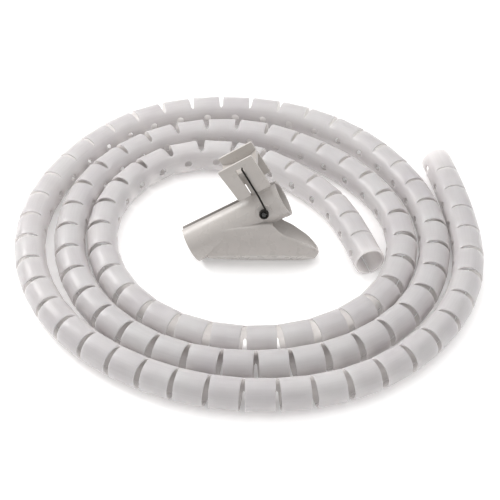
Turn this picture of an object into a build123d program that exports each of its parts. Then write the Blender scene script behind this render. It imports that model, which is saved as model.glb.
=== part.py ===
"""A loose coil of slotted cable tube lying flat, with its sprung loading tool inside the coil.

Millimetres, +Z up.  The floor is Z = 0 and the origin is under the middle of the whole thing.
"""
from build123d import *
from math import cos, radians, sin, tan
import os

# ---------------------------------------------------------------- slotted tube
TUBE_OD = 20.0
TUBE_WALL = 1.2
TUBE_RADIUS = TUBE_OD / 2
FINGERS = 106               # rigid rings between the slots
SLOT_WIDTH = 1.2            # at the hinge line; bending opens the outer side further
SPINE_HALF_ANGLE = 50.0     # the uncut web, measured about the tube's own axis
SPINE_ROLL = 10.0           # how far the web's centre is rolled above the inside of the bend
SLOT_TIP_TAPER = 0.8
SCREW_HOLE_DIAMETER = 5.0   # one in the web of every finger
SLIT_WIDTH = 0.9            # lengthways loading slit, on the underside
SLIT_ANGLE = 105.0          # from the web's centre, about the tube's own axis

# ---------------------------------------------------------------- how the coil lies
# The route is a run of points, one each twelfth of a turn clockwise from +X, joined by smooth
# quadratic arcs.  These are the radii at those points, a line for each turn of the loose coil.
COIL_CENTRE = (1.2, 0.1)
COIL_STEP = 30.0
COIL_RADII = (
    [141.4, 142.5, 141.6, 135.6, 134.3, 138.9, 142.9, 142.8, 145.0, 134.8, 126.6, 119.2]
    + [119.1, 119.9, 116.3, 112.8, 114.0, 114.6, 116.8, 120.5, 119.3, 109.3, 96.6, 95.1]
    + [98.5, 98.8, 94.9, 92.2, 92.2, 93.0, 96.0, 99.6, 98.6, 82.6, 67.4, 64.3]
)
OUTER_END = (-32.5, 150.6)              # (degrees clockwise from +X, radius)
INNER_END_RUN = [(1080.0, 69.9), (1095.5, 79.4)]
ROUTE_STEPS = 40                        # straight steps that stand for each quadratic arc

# ---------------------------------------------------------------- loading tool
TOOL_FLOOR_POINT = (1.2, -8.5, 0.0)     # where the keel line meets the floor
LEAN = 18.0                             # the tool leans back on one side of its keel
BARREL_REAR = (-37.8, 11.75)            # ends of the barrel's axis, in the tool's side view
BARREL_MOUTH = (21.2, 43.9)
REAR_RADIUS = 12.5
MOUTH_RADIUS = 11.7
COLLAR_RADIUS = 12.1
COLLAR_LENGTH = 3.4
BORE_RADIUS = 10.0
LOADING_SLOT_WIDTH = 4.4

KEEL_LINE = [(-27.0, 4.4), (-20.0, 3.0), (-10.0, 1.4), (2.0, 0.0), (30.0, 0.0), (37.0, 1.4), (42.4, 4.4)]
NOSE_LINE = [(44.4, 7.0), (42.2, 10.0), (37.8, 13.9), (32.0, 17.6), (26.6, 21.0), (21.4, 23.6)]
DECK_LINE = [(17.4, 27.4), (13.0, 30.6), (4.0, 30.2), (-8.0, 28.8), (-18.0, 27.0), (-28.0, 22.6)]
PLAN_HALF_WIDTHS = [
    (-29.0, 8.6), (-20.0, 11.6), (-8.0, 12.9), (6.0, 13.4), (20.0, 13.3), (31.0, 11.9),
    (39.0, 8.9), (43.4, 4.6),
]
NOSE_TIP = 44.9
SHOE_ROUND = 2.0
KEEL_ANGLE = 34.0                       # the near side of the keel rises at this angle
SCOOP = [(14.0, 28.6, 12.4), (29.0, 20.2, 11.0), (42.8, 9.4, 2.2)]    # place and radius

# ---------------------------------------------------------------- clamp lever, pins, spring
PIVOT = (8.8, 39.2)                     # side view; a little above the barrel's axis
BOSS_RADIUS = 5.0
BOSS_FACE = 13.2                        # distance of the boss's face from the middle plane
PIN_RADIUS = 1.5
PIN_CLEARANCE = 0.05
PIN_INNER_END = 5.9
REAR_PIN_END = 14.0
FRONT_PIN_END = 17.4
PIN_HEAD_RADIUS = 2.4

LEVER_HALF_WIDTH = 12.9
LEVER_WALL = 2.0
CHEEK = [(-10.2, 13.9), (12.4, 13.9), (11.2, 37.6), (-12.8, 37.2)]
CHEEK_ROUND = 0.8
THUMB_REST_RADIUS = 27.5
THUMB_REST_CENTRE = (0.0, 57.0)
WEB_THICKNESS = 2.6
SPRING_WINDOW = [(-1.4, 10.0), (-2.4, 33.4), (2.9, 33.4), (3.3, 10.0)]
NECK_HALF_WIDTH = 1.7
NECK_HALF_LENGTH = 3.0
YOKE_RADIUS = 7.8
YOKE_THICKNESS = 1.7
YOKE_HALF_LENGTH = 2.0
EYE_RADIUS = 3.1

WIRE_DIAMETER = 1.2
SPRING_RADIUS = 2.45                    # to the middle of the wire
SPRING_TURNS = 2.5
SPRING_START = 14.1
SPRING_PITCH = 1.3
SPRING_LEG_TOP = 32.2
SPRING_LEG_LEAN = 0.6
SPRING_LEG_FACE = 13.6
HOOK_DEPTH = 2.2

os.makedirs("parts", exist_ok=True)


# ================================================================ tube
def route_point(turned, radius):
    """A point at the height of the tube's axis, turned degrees clockwise from +X."""
    angle = radians(turned)
    return Vector(
        COIL_CENTRE[0] + radius * cos(angle),
        COIL_CENTRE[1] - radius * sin(angle),
        TUBE_RADIUS,
    )


def route_controls():
    """The route's points: the coil by twelfths of a turn, then its straight inner end."""
    outward = 1 / cos(radians(COIL_STEP / 2))
    points = [route_point(*OUTER_END)]
    for index, radius in enumerate(COIL_RADII):
        points.append(route_point(index * COIL_STEP, radius * outward))
    for turned, radius in INNER_END_RUN:
        points.append(route_point(turned, radius))
    return points


def smooth(controls):
    """Quadratic arcs from middle to middle of the runs between the points."""
    line = []
    start = controls[0]
    for index in range(1, len(controls) - 1):
        corner = controls[index]
        last = index == len(controls) - 2
        end = controls[index + 1] if last else (corner + controls[index + 1]) * 0.5
        for step in range(ROUTE_STEPS):
            t = step / ROUTE_STEPS
            line.append(start * (1 - t) ** 2 + corner * (2 * t * (1 - t)) + end * t ** 2)
        start = end
    line.append(controls[-1])
    return line


def inner_side(line):
    """The line along the inside of the bend, where the web hinges."""
    hinge = []
    for index, point in enumerate(line):
        travel = line[min(index + 1, len(line) - 1)] - line[max(index - 1, 0)]
        travel = travel.normalized()
        hinge.append(point + Vector(travel.Y, -travel.X, 0) * TUBE_RADIUS)
    return hinge


def walk(line, chord):
    """Points a chord apart along the line, as far as it goes."""
    points = [line[0]]
    for before, after in zip(line, line[1:]):
        while (after - points[-1]).length >= chord:
            near, far = 0.0, 1.0
            for _ in range(30):
                middle = (near + far) / 2
                if (before + (after - before) * middle - points[-1]).length < chord:
                    near = middle
                else:
                    far = middle
            points.append(before + (after - before) * far)
    return points


def equal_chords(line, count):
    """The line's points that divide it into count equal chords, and the chord."""
    short, long = TUBE_OD / 2, TUBE_OD * 2
    for _ in range(40):
        chord = (short + long) / 2
        if len(walk(line, chord)) > count:
            short = chord
        else:
            long = chord
    return walk(line, short)[: count + 1], short


HINGES, PITCH = equal_chords(inner_side(smooth(route_controls())), FINGERS)
TRAVEL = [(after - before).normalized() for before, after in zip(HINGES, HINGES[1:])]


def hinge_normal(index):
    """The direction across the hinge plane between finger index - 1 and finger index."""
    before = TRAVEL[max(index - 1, 0)]
    after = TRAVEL[min(index, FINGERS - 1)]
    return (before + after).normalized()


def make_finger(index):
    """One ring of the tube, with its half of the web at each end."""
    travel = TRAVEL[index]
    outward = Vector(-travel.Y, travel.X, 0)
    centre = (HINGES[index] + HINGES[index + 1]) * 0.5 + outward * TUBE_RADIUS
    web = outward * -cos(radians(SPINE_ROLL)) + Vector(0, 0, 1) * sin(radians(SPINE_ROLL))
    across = Plane(origin=centre, x_dir=web, z_dir=travel)
    side = Plane(origin=centre, x_dir=web, z_dir=web.cross(travel))
    web_edge = TUBE_RADIUS * cos(radians(SPINE_HALF_ANGLE))
    slot_face = (PITCH - SLOT_WIDTH) / 2
    with BuildPart() as finger:
        with BuildSketch(across):
            Circle(TUBE_RADIUS)
            Circle(TUBE_RADIUS - TUBE_WALL, mode=Mode.SUBTRACT)
        extrude(amount=PITCH, both=True)
        split(bisect_by=Plane(origin=HINGES[index], z_dir=hinge_normal(index)), keep=Keep.TOP)
        split(
            bisect_by=Plane(origin=HINGES[index + 1], z_dir=hinge_normal(index + 1)),
            keep=Keep.BOTTOM,
        )
        for end in (-1, 1):
            at_tube_end = (index == 0 and end < 0) or (index == FINGERS - 1 and end > 0)
            if at_tube_end:
                continue
            with BuildSketch(side):
                with BuildLine():
                    Polyline(
                        (web_edge + SLOT_TIP_TAPER, end * PITCH),
                        (web_edge + SLOT_TIP_TAPER, end * PITCH / 2),
                        (web_edge - SLOT_TIP_TAPER / 2, end * slot_face),
                        (-TUBE_OD, end * slot_face),
                        (-TUBE_OD, end * PITCH),
                        close=True,
                    )
                make_face()
            extrude(amount=TUBE_OD, both=True, mode=Mode.SUBTRACT)
        with BuildSketch(Plane(origin=centre, x_dir=travel, z_dir=web)):
            Circle(SCREW_HOLE_DIAMETER / 2)
        extrude(amount=TUBE_OD, mode=Mode.SUBTRACT)
        with BuildSketch(across.rotated((0, 0, SLIT_ANGLE))):
            with Locations((TUBE_RADIUS, 0)):
                Rectangle(TUBE_RADIUS, SLIT_WIDTH)
        extrude(amount=PITCH, both=True, mode=Mode.SUBTRACT)
    return finger.part


fingers = [make_finger(index) for index in range(FINGERS)]
with BuildPart() as tube:
    add(fingers)
tube.part.label = "slotted_tube"
export_step(tube.part, "parts/slotted_tube.step")


# ================================================================ tool
lean = radians(LEAN)
SIDE = Plane(
    origin=TOOL_FLOOR_POINT,
    x_dir=(1, 0, 0),
    z_dir=(0, -cos(lean), sin(lean)),
)
PLAN = Plane(origin=TOOL_FLOOR_POINT, x_dir=(1, 0, 0), z_dir=SIDE.y_dir)


def side_point(place):
    """A point of the tool's middle plane, from its side-view place."""
    return SIDE.from_local_coords(Vector(place[0], place[1], 0))


REAR_CENTRE = side_point(BARREL_REAR)
MOUTH_CENTRE = side_point(BARREL_MOUTH)
BARREL_RUN = (MOUTH_CENTRE - REAR_CENTRE).normalized()
BARREL_SIZE = (MOUTH_CENTRE - REAR_CENTRE).length
REAR = Plane(origin=REAR_CENTRE, x_dir=SIDE.z_dir, z_dir=BARREL_RUN)
COLLAR = REAR.offset(BARREL_SIZE - COLLAR_LENGTH)
# x runs along the barrel towards its mouth, y away from the barrel, z to the near side
SWING = Plane(origin=side_point(PIVOT), x_dir=BARREL_RUN, z_dir=SIDE.z_dir)
# x runs to the near side, y away from the barrel
ACROSS = Plane(origin=side_point(PIVOT), x_dir=SIDE.z_dir, z_dir=-BARREL_RUN)


def is_flank_edge(edge):
    """True for the long edges above and below the shoe's two flanks."""
    return edge.length > 30 and abs(SIDE.to_local_coords(edge @ 0.5).Z) > 5


# the shoe: its side view, cut to its plan, with a keel
with BuildPart() as shoe:
    with BuildSketch(SIDE):
        with BuildLine():
            Spline(*KEEL_LINE, *NOSE_LINE, *DECK_LINE)
            Line(DECK_LINE[-1], KEEL_LINE[0])
        make_face()
    extrude(amount=20, both=True)
    near_side = [(place, -half) for place, half in PLAN_HALF_WIDTHS]
    far_side = [(place, half) for place, half in reversed(PLAN_HALF_WIDTHS)]
    with BuildSketch(PLAN):
        with BuildLine():
            Spline(*near_side, (NOSE_TIP, 0), *far_side)
            Line(far_side[-1], near_side[0])
        make_face()
    extrude(amount=60, both=True, mode=Mode.INTERSECT)
    split(
        bisect_by=Plane(
            origin=TOOL_FLOOR_POINT,
            x_dir=(1, 0, 0),
            z_dir=SIDE.y_dir * cos(radians(KEEL_ANGLE)) - SIDE.z_dir * sin(radians(KEEL_ANGLE)),
        ),
        keep=Keep.TOP,
    )
    split(bisect_by=Plane(origin=TOOL_FLOOR_POINT, z_dir=(0, 0, 1)), keep=Keep.TOP)
    fillet(shoe.edges().filter_by(is_flank_edge), SHOE_ROUND)
    scoop_line = side_point(SCOOP[-1]) - side_point(SCOOP[0])
    for place in SCOOP:
        with BuildSketch(Plane(origin=side_point(place), x_dir=SIDE.z_dir, z_dir=scoop_line)):
            Circle(place[2])
    loft(mode=Mode.SUBTRACT)

with BuildPart() as tool_body:
    add(shoe.part)
    with BuildSketch(REAR):
        Circle(REAR_RADIUS)
    with BuildSketch(REAR.offset(BARREL_SIZE)):
        Circle(MOUTH_RADIUS)
    loft()
    with BuildSketch(COLLAR):
        Circle(COLLAR_RADIUS)
    extrude(amount=COLLAR_LENGTH)
    with BuildSketch(SWING):
        Circle(BOSS_RADIUS)
    extrude(amount=BOSS_FACE, both=True)
    with BuildSketch(REAR.offset(-10)):
        Circle(BORE_RADIUS)
    extrude(amount=BARREL_SIZE + 30, mode=Mode.SUBTRACT)
    with BuildSketch(ACROSS):
        with Locations((0, 20)):
            Rectangle(LOADING_SLOT_WIDTH, 40)
    extrude(amount=BARREL_SIZE * 2, both=True, mode=Mode.SUBTRACT)
    with BuildSketch(SWING):
        Circle(PIN_RADIUS)
    extrude(amount=20, both=True, mode=Mode.SUBTRACT)
    with BuildSketch(SWING.offset(BOSS_FACE - HOOK_DEPTH - 0.2)):
        with Locations((-SPRING_RADIUS, 0)):
            Circle(WIRE_DIAMETER / 2 + 0.1)
    extrude(amount=10, mode=Mode.SUBTRACT)
tool_body.part.label = "tool_body"
export_step(tool_body.part, "parts/tool_body.step")

with BuildPart() as clamp_lever:
    for near in (-1, 1):
        inner = near * (LEVER_HALF_WIDTH - LEVER_WALL)
        with BuildSketch(SWING.offset(inner)) as cheek:
            with BuildLine():
                Polyline(*CHEEK, close=True)
            make_face()
            fillet(cheek.vertices(), CHEEK_ROUND)
        extrude(amount=near * LEVER_WALL)
    with BuildSketch(SWING) as web:
        with BuildLine():
            Polyline(*CHEEK, close=True)
        make_face()
        with Locations(THUMB_REST_CENTRE):
            Circle(THUMB_REST_RADIUS + WEB_THICKNESS, mode=Mode.INTERSECT)
            Circle(THUMB_REST_RADIUS, mode=Mode.SUBTRACT)
    extrude(amount=LEVER_HALF_WIDTH - LEVER_WALL, both=True)
    with BuildSketch(SWING.offset(LEVER_HALF_WIDTH - LEVER_WALL)):
        with BuildLine():
            Polyline(*SPRING_WINDOW, close=True)
        make_face()
    extrude(amount=LEVER_WALL, mode=Mode.SUBTRACT)
    neck_top = THUMB_REST_CENTRE[1] - THUMB_REST_RADIUS - 0.2
    with BuildSketch(SWING):
        with Locations((0, (neck_top + YOKE_RADIUS) / 2)):
            Rectangle(NECK_HALF_LENGTH * 2, neck_top - YOKE_RADIUS + 1.2)
    extrude(amount=NECK_HALF_WIDTH, both=True)
    with BuildSketch(ACROSS):
        Circle(YOKE_RADIUS)
        with Locations((0, -YOKE_RADIUS / 2)):
            Rectangle(YOKE_RADIUS * 2, YOKE_RADIUS)
        Circle(YOKE_RADIUS - YOKE_THICKNESS, mode=Mode.SUBTRACT)
        with Locations((0, -YOKE_RADIUS)):
            Rectangle((YOKE_RADIUS - YOKE_THICKNESS) * 2, YOKE_RADIUS * 2, mode=Mode.SUBTRACT)
        with Locations((0, -YOKE_RADIUS * 2)):
            Rectangle(YOKE_RADIUS * 4, YOKE_RADIUS * 4, mode=Mode.SUBTRACT)
    extrude(amount=YOKE_HALF_LENGTH, both=True)
    for near in (-1, 1):
        with BuildSketch(SWING.offset(near * (YOKE_RADIUS - YOKE_THICKNESS))):
            Circle(EYE_RADIUS)
        extrude(amount=near * YOKE_THICKNESS)
    with BuildSketch(SWING):
        Circle(PIN_RADIUS + PIN_CLEARANCE)
    extrude(amount=YOKE_RADIUS + 1, both=True, mode=Mode.SUBTRACT)
clamp_lever.part.label = "clamp_lever"
export_step(clamp_lever.part, "parts/clamp_lever.step")

with BuildPart() as front_pivot_pin:
    with BuildSketch(SWING.offset(PIN_INNER_END)):
        Circle(PIN_RADIUS)
    extrude(amount=FRONT_PIN_END - PIN_INNER_END)
    fillet(front_pivot_pin.edges().sort_by(Axis(SWING.origin, SWING.z_dir))[-1], 0.3)
front_pivot_pin.part.label = "front_pivot_pin"
export_step(front_pivot_pin.part, "parts/front_pivot_pin.step")

with BuildPart() as rear_pivot_pin:
    with BuildSketch(SWING.offset(-PIN_INNER_END)):
        Circle(PIN_RADIUS)
    extrude(amount=PIN_INNER_END - REAR_PIN_END)
    with BuildSketch(SWING.offset(-BOSS_FACE)):
        Circle(PIN_HEAD_RADIUS)
    extrude(amount=BOSS_FACE - REAR_PIN_END)
rear_pivot_pin.part.label = "rear_pivot_pin"
export_step(rear_pivot_pin.part, "parts/rear_pivot_pin.step")


def spring_point(height, across_barrel, along=SPRING_RADIUS):
    """A point of the spring's ends, from the pivot."""
    return SWING.from_local_coords(Vector(along, height, across_barrel))


LEG = [
    spring_point(0, SPRING_START + SPRING_PITCH * SPRING_TURNS),
    spring_point(12.0, SPRING_LEG_FACE + 0.5),
    spring_point(SPRING_LEG_TOP, SPRING_LEG_FACE, SPRING_RADIUS - SPRING_LEG_LEAN),
    spring_point(SPRING_LEG_TOP, SPRING_LEG_FACE - 2.6, SPRING_RADIUS - SPRING_LEG_LEAN),
]
# the coil winds outwards along the pivot, from the hook to the leg
COIL = Plane(
    origin=SWING.offset(SPRING_START).origin, x_dir=-BARREL_RUN, z_dir=SWING.z_dir
)
HOOK = [
    spring_point(0, SPRING_START, -SPRING_RADIUS),
    spring_point(0, BOSS_FACE - HOOK_DEPTH, -SPRING_RADIUS),
]
with BuildPart() as torsion_spring:
    with BuildLine() as coil_wire:
        coil = Helix(
            SPRING_PITCH, SPRING_PITCH * SPRING_TURNS, SPRING_RADIUS, mode=Mode.PRIVATE
        )
        add(COIL.location * coil)
    with BuildSketch(Plane(origin=coil_wire.line @ 0, z_dir=coil_wire.line % 0)):
        Circle(WIRE_DIAMETER / 2)
    sweep(path=coil_wire.line, is_frenet=True)
    for run in (HOOK, LEG):
        for near, far in zip(run, run[1:]):
            with BuildSketch(Plane(origin=near, z_dir=far - near)):
                Circle(WIRE_DIAMETER / 2)
            extrude(amount=(far - near).length)
            with Locations(near):
                Sphere(WIRE_DIAMETER / 2)
torsion_spring.part.label = "torsion_spring"
export_step(torsion_spring.part, "parts/torsion_spring.step")
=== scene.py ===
"""Looks for a coil of slotted cable tube and its loading tool, on a pale studio floor.

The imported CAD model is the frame.  The tube is rebuilt ring by ring along its route with rounded
edges; the tool's own pieces keep their CAD shape and get moulded-plastic and steel finishes.
"""
from math import asin, cos, degrees, radians, sin, sqrt

import bmesh
import bpy
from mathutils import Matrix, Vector


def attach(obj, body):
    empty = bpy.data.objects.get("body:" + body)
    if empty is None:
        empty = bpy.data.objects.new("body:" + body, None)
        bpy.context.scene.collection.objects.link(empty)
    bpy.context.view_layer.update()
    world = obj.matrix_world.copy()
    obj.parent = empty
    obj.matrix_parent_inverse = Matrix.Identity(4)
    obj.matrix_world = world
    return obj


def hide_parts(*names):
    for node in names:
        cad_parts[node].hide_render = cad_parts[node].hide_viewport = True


MM = 0.001

# ------------------------------------------------------------------ the tube
# the route's radii, ends and height are in millimetres, and its turns in degrees clockwise from +X
TUBE_OD = 20.0 * MM
TUBE_WALL = 1.2 * MM
TUBE_RADIUS = TUBE_OD / 2
RINGS = 106
SLOT_WIDTH = 1.2 * MM
SPINE_HALF_ANGLE = 50.0
SPINE_ROLL = 10.0
SLOT_TIP_TAPER = 0.8 * MM
SCREW_HOLE_RADIUS = 2.5 * MM
SLIT_WIDTH = 0.9 * MM
SLIT_ANGLE = 105.0
COIL_CENTRE = (1.2, 0.1)
COIL_STEP = 30.0
COIL_RADII = (
    [141.4, 142.5, 141.6, 135.6, 134.3, 138.9, 142.9, 142.8, 145.0, 134.8, 126.6, 119.2]
    + [119.1, 119.9, 116.3, 112.8, 114.0, 114.6, 116.8, 120.5, 119.3, 109.3, 96.6, 95.1]
    + [98.5, 98.8, 94.9, 92.2, 92.2, 93.0, 96.0, 99.6, 98.6, 82.6, 67.4, 64.3]
)
OUTER_END = (-32.5, 150.6)
INNER_END_RUN = [(1080.0, 69.9), (1095.5, 79.4)]
ROUTE_STEPS = 40                         # steps to each span of the route's spline
AXIS_HEIGHT = 10.0                       # the tube lies on the floor

# ------------------------------------------------------------------ mesh density of one ring
HOLE_BLOCK_ANGLE = 22.0                  # half the block of faces round a screw hole, in degrees
HOLE_BLOCK_COLUMNS = 6
HOLE_BLOCK_ROWS = 4
HOLE_COLLARS = (0.55, 1.0)               # rings of faces between the block's edge and the hole
# the columns of faces at a slot's tip lie close together, the rest COLUMN_ANGLE apart
SLOT_TIP_ANGLES = [32.0, 40.0, 44.0, 46.5, 49.0, 51.0, 53.0, 60.0]
COLUMN_ANGLE = 7.5
WELD_DISTANCE = 0.002 * MM
BISECTIONS = 30                          # halvings when a length is searched for
EDGE_ROUND = 0.22 * MM
SHARP_ANGLE = 40.0

# ------------------------------------------------------------------ finishes
COLOUR_A, COLOUR_B, COLOUR_OUT = 6, 7, 2  # the colour sockets of a mix node
LEVER_EDGE_ROUND = 0.25 * MM
LEVER_SHARP_ANGLE = 65.0
TUBE_TINTS = [
    (0.30, (0.605, 0.560, 0.568)),
    (0.50, (0.65, 0.606, 0.600)),
    (0.70, (0.69, 0.655, 0.640)),
]
TUBE_STREAKS = [(0.30, (0.955, 0.95, 0.95)), (0.70, (1.0, 1.0, 1.0))]
TUBE_CLOUDS = [(0.30, (0.97, 0.965, 0.96)), (0.70, (1.0, 1.0, 1.0))]
TUBE_GLOW_DEPTH = (0.0125, 0.0122, 0.0117)  # light passes right through the thin wall
TOOL_GLOW_DEPTH = (0.0015, 0.0012, 0.001)
BODY_TONES = (0.425, 0.400, 0.379), (0.485, 0.458, 0.436)
LEVER_TONES = (0.415, 0.388, 0.364), (0.475, 0.446, 0.420)
PIN_TONE = (0.10, 0.10, 0.10)
WIRE_TONE = (0.035, 0.033, 0.03)
DULL_SPOT_SHARE = 0.6                    # of the steel's tone, where it is dull
PAPER_TONES = (0.90, 0.90, 0.90), (0.93, 0.93, 0.93)

# ------------------------------------------------------------------ studio
FLOOR_SIZE = 6.0
FLOOR_DROP = 0.2 * MM                    # keeps the floor clear of the tube's lowest line
FLOOR_GLOW = 0.2                         # the paper lies on a lit table, which fills the shadows
ROOM_STRENGTH = 0.72
OVERHEAD = {"place": (0.0, 0.15, 1.3), "size": 1.6, "watts": 10.5, "colour": (1.0, 0.99, 0.985)}
KEY = {"place": (-0.8, 0.5, 0.75), "size": 0.5, "watts": 6.5, "colour": (1.0, 0.985, 0.97)}
CAMERA_LENS = 122.4
CAMERA_PITCH = 42.5
CAMERA_PLACE = (0.0012, -0.8166, 0.7494)


# ================================================================== route
def route_point(turned, radius):
    """A point at the height of the tube's axis, turned degrees clockwise from +X."""
    angle = radians(turned)
    return MM * Vector(
        (COIL_CENTRE[0] + radius * cos(angle), COIL_CENTRE[1] - radius * sin(angle), AXIS_HEIGHT)
    )


def route_points():
    """The coil by twelfths of a turn, then its straight inner end."""
    outward = 1 / cos(radians(COIL_STEP / 2))
    points = [route_point(*OUTER_END)]
    for index, radius in enumerate(COIL_RADII):
        points.append(route_point(index * COIL_STEP, radius * outward))
    for turned, radius in INNER_END_RUN:
        points.append(route_point(turned, radius))
    return points


def route_line():
    """The tube's middle line, read from the route's NURBS spline."""
    curve = bpy.data.curves.new("route", "CURVE")
    curve.dimensions = "3D"
    spline = curve.splines.new("NURBS")
    places = route_points()
    spline.points.add(len(places) - 1)
    for place, point in zip(places, spline.points):
        point.co = (*place, 1.0)
    spline.order_u = 3
    spline.use_endpoint_u = True
    spline.resolution_u = ROUTE_STEPS
    holder = bpy.data.objects.new("route", curve)
    mesh = bpy.data.meshes.new_from_object(holder)
    line = [vertex.co.copy() for vertex in mesh.vertices]
    bpy.data.objects.remove(holder)
    bpy.data.curves.remove(curve)
    bpy.data.meshes.remove(mesh)
    return line


def inner_side(line):
    """The line along the inside of the bend, where the web hinges."""
    hinge = []
    for index, point in enumerate(line):
        travel = line[min(index + 1, len(line) - 1)] - line[max(index - 1, 0)]
        travel.normalize()
        hinge.append(point + Vector((travel.y, -travel.x, 0)) * TUBE_RADIUS)
    return hinge


def walk(line, chord):
    """Points a chord apart along the line, as far as it goes."""
    points = [line[0]]
    for before, after in zip(line, line[1:]):
        while (after - points[-1]).length >= chord:
            near, far = 0.0, 1.0
            for _ in range(BISECTIONS):
                middle = (near + far) / 2
                if (before.lerp(after, middle) - points[-1]).length < chord:
                    near = middle
                else:
                    far = middle
            points.append(before.lerp(after, far))
    return points


def equal_chords(line, count):
    """The line's points that divide it into count equal chords, and the chord."""
    short, long = TUBE_OD / 2, TUBE_OD * 2
    for _ in range(BISECTIONS):
        chord = (short + long) / 2
        if len(walk(line, chord)) > count:
            short = chord
        else:
            long = chord
    return walk(line, short)[: count + 1], short


# ================================================================== tube mesh
def column_angles():
    """Angles round the tube from the web's middle, from one side of the slit to the other."""
    edge = degrees(SLIT_WIDTH / 2 / TUBE_RADIUS)
    first, last = SLIT_ANGLE - 360 + edge, SLIT_ANGLE - edge
    block = HOLE_BLOCK_ANGLE
    tip = [block] + SLOT_TIP_ANGLES
    angles = [-block + 2 * block * i / HOLE_BLOCK_COLUMNS for i in range(HOLE_BLOCK_COLUMNS)]
    angles += tip
    angles = [-angle for angle in reversed(tip[1:])] + angles
    low, high = angles[0], angles[-1]
    below = round((low - first) / COLUMN_ANGLE)
    above = round((last - high) / COLUMN_ANGLE)
    start = [first + (low - first) * i / below for i in range(below)]
    finish = [high + (last - high) * (i + 1) / above for i in range(above)]
    return start + angles + finish


def row_shares(pitch):
    """How far along the ring each row lies, from 0 to 1, with the hole's block in the middle."""
    half = radians(HOLE_BLOCK_ANGLE) * TUBE_RADIUS / pitch
    block = [0.5 - half + 2 * half * i / HOLE_BLOCK_ROWS for i in range(HOLE_BLOCK_ROWS + 1)]
    return [0.0] + block + [1.0]


def slot_share(angle):
    """0 in the web, 1 where the slot has its whole width, with a rounded tip between."""
    depth = TUBE_RADIUS * cos(radians(angle))
    web_edge = TUBE_RADIUS * cos(radians(SPINE_HALF_ANGLE))
    start = web_edge + SLOT_TIP_TAPER
    finish = web_edge - SLOT_TIP_TAPER / 2
    share = min(max((start - depth) / (start - finish), 0.0), 1.0)
    return sqrt(1 - (1 - share) ** 2)


class Ring:
    """One rigid ring between two hinge points: turns (angle, share, radius) into a place."""

    def __init__(self, index, hinges, pitch):
        self.index = index
        self.travel = (hinges[index + 1] - hinges[index]).normalized()
        outward = Vector((-self.travel.y, self.travel.x, 0))
        self.middle = (hinges[index] + hinges[index + 1]) / 2 + outward * TUBE_RADIUS
        roll = radians(SPINE_ROLL)
        self.web = Vector((0, 0, sin(roll))) - outward * cos(roll)
        self.side = self.travel.cross(self.web)
        self.first, self.last = index == 0, index == RINGS - 1
        self.pitch = pitch
        self.ends = []
        for end, other in ((index, index - 1), (index + 1, index + 1)):
            neighbour = self.travel
            if 0 <= other < RINGS:
                neighbour = (hinges[other + 1] - hinges[other]).normalized()
            self.ends.append((hinges[end], (neighbour + self.travel).normalized()))

    def radial(self, angle):
        """The direction across the ring at this angle from the web's middle."""
        return self.web * cos(radians(angle)) + self.side * sin(radians(angle))

    def reach(self, end, angle, radius):
        """How far along the ring's axis its end lies from the middle, at this angle."""
        hinge, normal = self.ends[end]
        on_axis = self.middle + self.radial(angle) * radius
        mitre = (hinge - on_axis).dot(normal) / self.travel.dot(normal)
        at_tube_end = self.first if end == 0 else self.last
        if at_tube_end:
            return mitre
        square = (self.pitch - SLOT_WIDTH) / 2 * (1 if end else -1)
        return mitre + (square - mitre) * slot_share(angle)

    def place(self, angle, share, radius):
        """A place on the ring, a share of the way from its first end to its last."""
        low = self.reach(0, angle, radius)
        high = self.reach(1, angle, radius)
        along = low + (high - low) * share
        return self.middle + self.radial(angle) * radius + self.travel * along

    def hole_place(self, angle, share, radius, inwards):
        """A place between the hole's block edge (inwards 0) and the hole's own edge (1)."""
        arc = radians(angle) * TUBE_RADIUS
        along = (share - 0.5) * self.pitch
        size = sqrt(arc * arc + along * along)
        arc_at = arc + (arc / size * SCREW_HOLE_RADIUS - arc) * inwards
        along_at = along + (along / size * SCREW_HOLE_RADIUS - along) * inwards
        turned = asin(max(-1.0, min(1.0, arc_at / TUBE_RADIUS)))
        turned = turned * inwards + arc_at / TUBE_RADIUS * (1 - inwards)
        offset = self.travel * along_at
        return self.middle + self.radial(degrees(turned)) * radius + offset


def add_vertex(mesh, ring, place, angle, share):
    """A vertex that knows how far round and along the tube it is, for the material's streaks."""
    vertex = mesh.verts.new(place)
    vertex[mesh.verts.layers.float["around"]] = angle / 360
    vertex[mesh.verts.layers.float["along"]] = ring.index + share
    return vertex


def add_skin(mesh, ring, radius, angles, shares):
    """One surface of a ring as a grid, with a round hole in its middle block."""
    columns, rows = len(angles), len(shares)
    centre = min(range(columns), key=lambda c: abs(angles[c]))
    left = centre - HOLE_BLOCK_COLUMNS // 2
    right = centre + HOLE_BLOCK_COLUMNS // 2
    low, high = 1, 1 + HOLE_BLOCK_ROWS
    grid = {}
    for c, angle in enumerate(angles):
        for r, share in enumerate(shares):
            if left < c < right and low < r < high:
                continue
            place = ring.place(angle, share, radius)
            grid[c, r] = add_vertex(mesh, ring, place, angle, share)
    for c in range(columns - 1):
        for r in range(rows - 1):
            if left <= c < right and low <= r < high:
                continue
            mesh.faces.new([grid[c, r], grid[c + 1, r], grid[c + 1, r + 1], grid[c, r + 1]])
    loop = [(c, low) for c in range(left, right)]
    loop += [(right, r) for r in range(low, high)]
    loop += [(c, high) for c in range(right, left, -1)]
    loop += [(left, r) for r in range(high, low, -1)]
    outer = [grid[spot] for spot in loop]
    for inwards in HOLE_COLLARS:
        inner = []
        for c, r in loop:
            place = ring.hole_place(angles[c], shares[r], radius, inwards)
            inner.append(add_vertex(mesh, ring, place, angles[c], shares[r]))
        count = len(loop)
        for i in range(count):
            j = (i + 1) % count
            mesh.faces.new([outer[i], outer[j], inner[j], inner[i]])
        outer = inner
    return grid, outer


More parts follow.
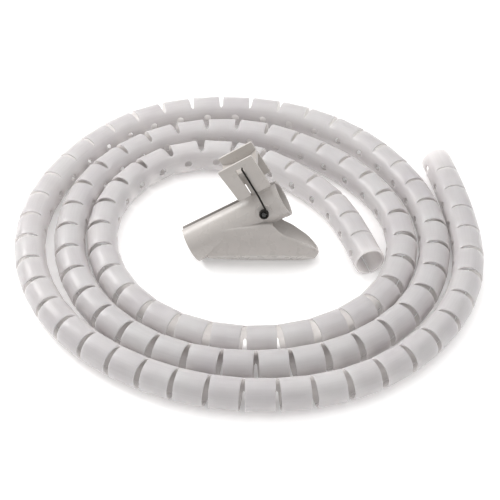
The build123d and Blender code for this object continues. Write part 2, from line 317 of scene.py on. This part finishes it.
def add_ring(mesh, ring, angles, shares):
    """A whole ring: outer and inner skins joined at the slots, the slit and the hole."""
    outside, outside_hole = add_skin(mesh, ring, TUBE_RADIUS, angles, shares)
    inside, inside_hole = add_skin(mesh, ring, TUBE_RADIUS - TUBE_WALL, angles, shares)
    columns, rows = len(angles), len(shares)

    def join(spots):
        for a, b in zip(spots, spots[1:]):
            mesh.faces.new([outside[a], outside[b], inside[b], inside[a]])

    join([(0, r) for r in range(rows)])
    join([(columns - 1, r) for r in range(rows)])
    for row, at_tube_end in ((0, ring.first), (rows - 1, ring.last)):
        for c in range(columns - 1):
            open_here = slot_share(angles[c]) + slot_share(angles[c + 1]) > 0
            if at_tube_end or open_here:
                join([(c, row), (c + 1, row)])
    count = len(outside_hole)
    for i in range(count):
        j = (i + 1) % count
        mesh.faces.new([outside_hole[i], outside_hole[j], inside_hole[j], inside_hole[i]])


def make_tube():
    """The whole slotted tube as one mesh, and the line that it follows."""
    line = route_line()
    hinges, pitch = equal_chords(inner_side(line), RINGS)
    angles, shares = column_angles(), row_shares(pitch)
    mesh = bmesh.new()
    mesh.verts.layers.float.new("around")
    mesh.verts.layers.float.new("along")
    for index in range(RINGS):
        add_ring(mesh, Ring(index, hinges, pitch), angles, shares)
    bmesh.ops.remove_doubles(mesh, verts=mesh.verts, dist=WELD_DISTANCE)
    bmesh.ops.recalc_face_normals(mesh, faces=mesh.faces)
    data = bpy.data.meshes.new("tube")
    mesh.to_mesh(data)
    mesh.free()
    for polygon in data.polygons:
        polygon.use_smooth = True
    tube = bpy.data.objects.new("slotted_tube_moulding", data)
    bpy.context.collection.objects.link(tube)
    round_edges(tube, EDGE_ROUND, SHARP_ANGLE)
    return tube, line


def round_edges(piece, width, angle):
    """Small moulded radii on a piece's edges that turn by more than the angle."""
    bevel = piece.modifiers.new("moulded edges", "BEVEL")
    bevel.width = width
    bevel.segments = 2
    bevel.limit_method = "ANGLE"
    bevel.angle_limit = radians(angle)


# ================================================================== materials
def new_material(name):
    """A node material with its principled shader, its node tree and a way to link."""
    material = bpy.data.materials.new(name)
    material.use_nodes = True
    nodes, links = material.node_tree.nodes, material.node_tree.links
    shader = next(node for node in nodes if node.type == "BSDF_PRINCIPLED")
    return material, nodes, links, shader


def noise(nodes, links, source, scale, detail, stretch=(1, 1, 1)):
    """A noise texture over a coordinate output, drawn out by stretch."""
    mapping = nodes.new("ShaderNodeMapping")
    mapping.inputs["Scale"].default_value = stretch
    links.new(source, mapping.inputs["Vector"])
    texture = nodes.new("ShaderNodeTexNoise")
    texture.inputs["Scale"].default_value = scale
    texture.inputs["Detail"].default_value = detail
    links.new(mapping.outputs["Vector"], texture.inputs["Vector"])
    return texture.outputs["Fac"]


def ramp(nodes, links, source, stops):
    """A colour ramp over a value."""
    node = nodes.new("ShaderNodeValToRGB")
    while len(node.color_ramp.elements) < len(stops):
        node.color_ramp.elements.new(0.5)
    for element, (position, colour) in zip(node.color_ramp.elements, stops):
        element.position = position
        element.color = (*colour, 1.0)
    links.new(source, node.inputs["Fac"])
    return node.outputs["Color"]


def multiply(nodes, links, first, second):
    """One colour times another."""
    node = nodes.new("ShaderNodeMix")
    node.data_type = "RGBA"
    node.blend_type = "MULTIPLY"
    node.inputs["Factor"].default_value = 1.0
    links.new(first, node.inputs[COLOUR_A])
    links.new(second, node.inputs[COLOUR_B])
    return node.outputs[COLOUR_OUT]


def map_range(nodes, links, source, spread, into):
    """A value moved from one range into another."""
    node = nodes.new("ShaderNodeMapRange")
    node.inputs["From Min"].default_value, node.inputs["From Max"].default_value = spread
    node.inputs["To Min"].default_value, node.inputs["To Max"].default_value = into
    links.new(source, node.inputs["Value"])
    return node.outputs["Result"]


def bump(nodes, links, shader, height, strength, distance):
    """Relief on the shader's surface."""
    node = nodes.new("ShaderNodeBump")
    node.inputs["Strength"].default_value = strength
    node.inputs["Distance"].default_value = distance
    links.new(height, node.inputs["Height"])
    links.new(node.outputs["Normal"], shader.inputs["Normal"])


def glow_through(shader, weight, depth):
    """Light that passes into the plastic: how much of it, and how deep each colour goes."""
    shader.inputs["Subsurface Weight"].default_value = weight
    shader.inputs["Subsurface Radius"].default_value = depth
    shader.inputs["Subsurface Scale"].default_value = 1.0


def attribute(nodes, name):
    """A number that the mesh carries on its vertices."""
    node = nodes.new("ShaderNodeAttribute")
    node.attribute_name = name
    return node.outputs["Fac"]


def tube_plastic():
    """Extruded off-white polypropylene: streaks along the tube, each ring a touch different."""
    material, nodes, links, shader = new_material("tube_plastic")
    place = nodes.new("ShaderNodeTexCoord").outputs["Object"]
    around, along = attribute(nodes, "around"), attribute(nodes, "along")
    unrolled = nodes.new("ShaderNodeCombineXYZ")
    links.new(around, unrolled.inputs["X"])
    links.new(along, unrolled.inputs["Y"])
    skin = unrolled.outputs["Vector"]
    streaks = noise(nodes, links, skin, scale=60.0, detail=4.0, stretch=(1.0, 0.004, 1.0))
    fine = noise(nodes, links, skin, scale=210.0, detail=2.0, stretch=(1.0, 0.003, 1.0))
    tint = noise(nodes, links, skin, scale=1.0, detail=2.0, stretch=(2.0, 0.55, 1.0))
    cloud = noise(nodes, links, place, scale=45.0, detail=4.0)
    base = ramp(nodes, links, tint, TUBE_TINTS)
    streak_tone = ramp(nodes, links, streaks, TUBE_STREAKS)
    colour = multiply(nodes, links, base, streak_tone)
    cloud_tone = ramp(nodes, links, cloud, TUBE_CLOUDS)
    colour = multiply(nodes, links, colour, cloud_tone)
    links.new(colour, shader.inputs["Base Color"])
    rough = map_range(nodes, links, fine, spread=(0.3, 0.7), into=(0.27, 0.41))
    links.new(rough, shader.inputs["Roughness"])
    glow_through(shader, 1.0, TUBE_GLOW_DEPTH)
    bump(nodes, links, shader, fine, strength=0.12, distance=0.0003)
    return material


def tool_plastic(name, tones, roughness):
    """Moulded plastic: slow flow clouds, a fine spark-eroded grain and faint handling marks."""
    material, nodes, links, shader = new_material(name)
    place = nodes.new("ShaderNodeTexCoord").outputs["Object"]
    flow = noise(nodes, links, place, scale=38.0, detail=4.0, stretch=(0.6, 1.0, 1.6))
    grain = noise(nodes, links, place, scale=1800.0, detail=2.0)
    marks = noise(nodes, links, place, scale=130.0, detail=5.0)
    dark, light = tones
    links.new(ramp(nodes, links, flow, [(0.3, dark), (0.7, light)]), shader.inputs["Base Color"])
    into = (roughness - 0.05, roughness + 0.07)
    rough = map_range(nodes, links, marks, spread=(0.3, 0.75), into=into)
    links.new(rough, shader.inputs["Roughness"])
    glow_through(shader, 0.06, TOOL_GLOW_DEPTH)
    bump(nodes, links, shader, grain, strength=0.06, distance=0.0001)
    return material


def dark_steel(name, tone, roughness):
    """Oiled steel: dark, with drawn streaks and small dull spots."""
    material, nodes, links, shader = new_material(name)
    place = nodes.new("ShaderNodeTexCoord").outputs["Object"]
    spots = noise(nodes, links, place, scale=900.0, detail=3.0)
    drawn = noise(nodes, links, place, scale=1500.0, detail=2.0, stretch=(1.0, 1.0, 0.15))
    low = tuple(value * DULL_SPOT_SHARE for value in tone)
    links.new(ramp(nodes, links, spots, [(0.35, low), (0.65, tone)]), shader.inputs["Base Color"])
    into = (roughness - 0.08, roughness + 0.12)
    rough = map_range(nodes, links, drawn, spread=(0.3, 0.7), into=into)
    links.new(rough, shader.inputs["Roughness"])
    shader.inputs["Metallic"].default_value = 0.85
    bump(nodes, links, shader, drawn, strength=0.15, distance=0.0001)
    return material


def floor_paper():
    """Matt white studio paper with a trace of fibre, lit a little from below."""
    material, nodes, links, shader = new_material("studio_paper")
    place = nodes.new("ShaderNodeTexCoord").outputs["Object"]
    fibre = noise(nodes, links, place, scale=900.0, detail=4.0)
    low, high = PAPER_TONES
    paper = ramp(nodes, links, fibre, [(0.3, low), (0.7, high)])
    links.new(paper, shader.inputs["Base Color"])
    shader.inputs["Roughness"].default_value = 0.85
    shader.inputs["Emission Color"].default_value = (1.0, 1.0, 1.0, 1.0)
    shader.inputs["Emission Strength"].default_value = FLOOR_GLOW
    return material


# ================================================================== studio
def give(piece, material):
    """One material for the whole piece."""
    piece.data.materials.clear()
    piece.data.materials.append(material)


def finish_tool(frame):
    """Finishes for the tool's CAD pieces, and moulded edges for the clamp lever."""
    body = tool_plastic("tool_plastic", BODY_TONES, 0.28)
    lever = tool_plastic("lever_plastic", LEVER_TONES, 0.30)
    pin = dark_steel("pin_steel", PIN_TONE, 0.35)
    wire = dark_steel("spring_wire", WIRE_TONE, 0.4)
    finishes = {
        "tool_body": body,
        "clamp_lever": lever,
        "front_pivot_pin": pin,
        "rear_pivot_pin": pin,
        "torsion_spring": wire,
    }
    for node, material in finishes.items():
        piece = frame["nodes"][node]
        for slot in piece.material_slots:
            slot.material = material
    round_edges(frame["nodes"]["clamp_lever"], LEVER_EDGE_ROUND, LEVER_SHARP_ANGLE)


def add_floor():
    """The studio's paper, under everything."""
    bpy.ops.mesh.primitive_plane_add(size=FLOOR_SIZE, location=(0, 0, -FLOOR_DROP))
    floor = bpy.context.object
    floor.name = "studio_floor"
    give(floor, floor_paper())


def add_light(name, place, size, watts, colour):
    """A square soft box that looks at the middle of the floor."""
    data = bpy.data.lights.new(name, "AREA")
    data.shape = "SQUARE"
    data.size = size
    data.energy = watts
    data.color = colour
    light = bpy.data.objects.new(name, data)
    light.location = place
    light.rotation_euler = (-Vector(place)).to_track_quat("-Z", "Y").to_euler()
    bpy.context.collection.objects.link(light)


def add_studio():
    """A white room of light with a broad overhead box and a gentle key from the upper left."""
    world = bpy.data.worlds.new("room")
    world.use_nodes = True
    background = world.node_tree.nodes["Background"]
    background.inputs["Color"].default_value = (1.0, 1.0, 1.0, 1.0)
    background.inputs["Strength"].default_value = ROOM_STRENGTH
    bpy.context.scene.world = world
    add_light("overhead", **OVERHEAD)
    add_light("key", **KEY)


def add_camera():
    """A long lens from the front, well above the floor."""
    data = bpy.data.cameras.new("camera")
    data.lens = CAMERA_LENS
    data.sensor_width = 36.0
    data.clip_start = 0.01
    camera = bpy.data.objects.new("camera", data)
    camera.location = CAMERA_PLACE
    camera.rotation_euler = (radians(90 - CAMERA_PITCH), 0, 0)
    bpy.context.collection.objects.link(camera)
    bpy.context.scene.camera = camera


# ================================================================== scene
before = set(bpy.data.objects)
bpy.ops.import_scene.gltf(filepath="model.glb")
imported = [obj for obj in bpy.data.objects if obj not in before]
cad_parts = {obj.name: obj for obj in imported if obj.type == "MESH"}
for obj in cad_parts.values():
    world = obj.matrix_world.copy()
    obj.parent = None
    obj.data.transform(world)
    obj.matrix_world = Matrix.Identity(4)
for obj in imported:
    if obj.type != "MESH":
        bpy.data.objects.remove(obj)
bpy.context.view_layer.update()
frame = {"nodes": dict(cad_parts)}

tube, tube_line = make_tube()
give(tube, tube_plastic())
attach(tube, "tube")
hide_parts("slotted_tube")
finish_tool(frame)

add_floor()
add_studio()
add_camera()
scene = bpy.context.scene
scene.view_settings.view_transform = "Standard"
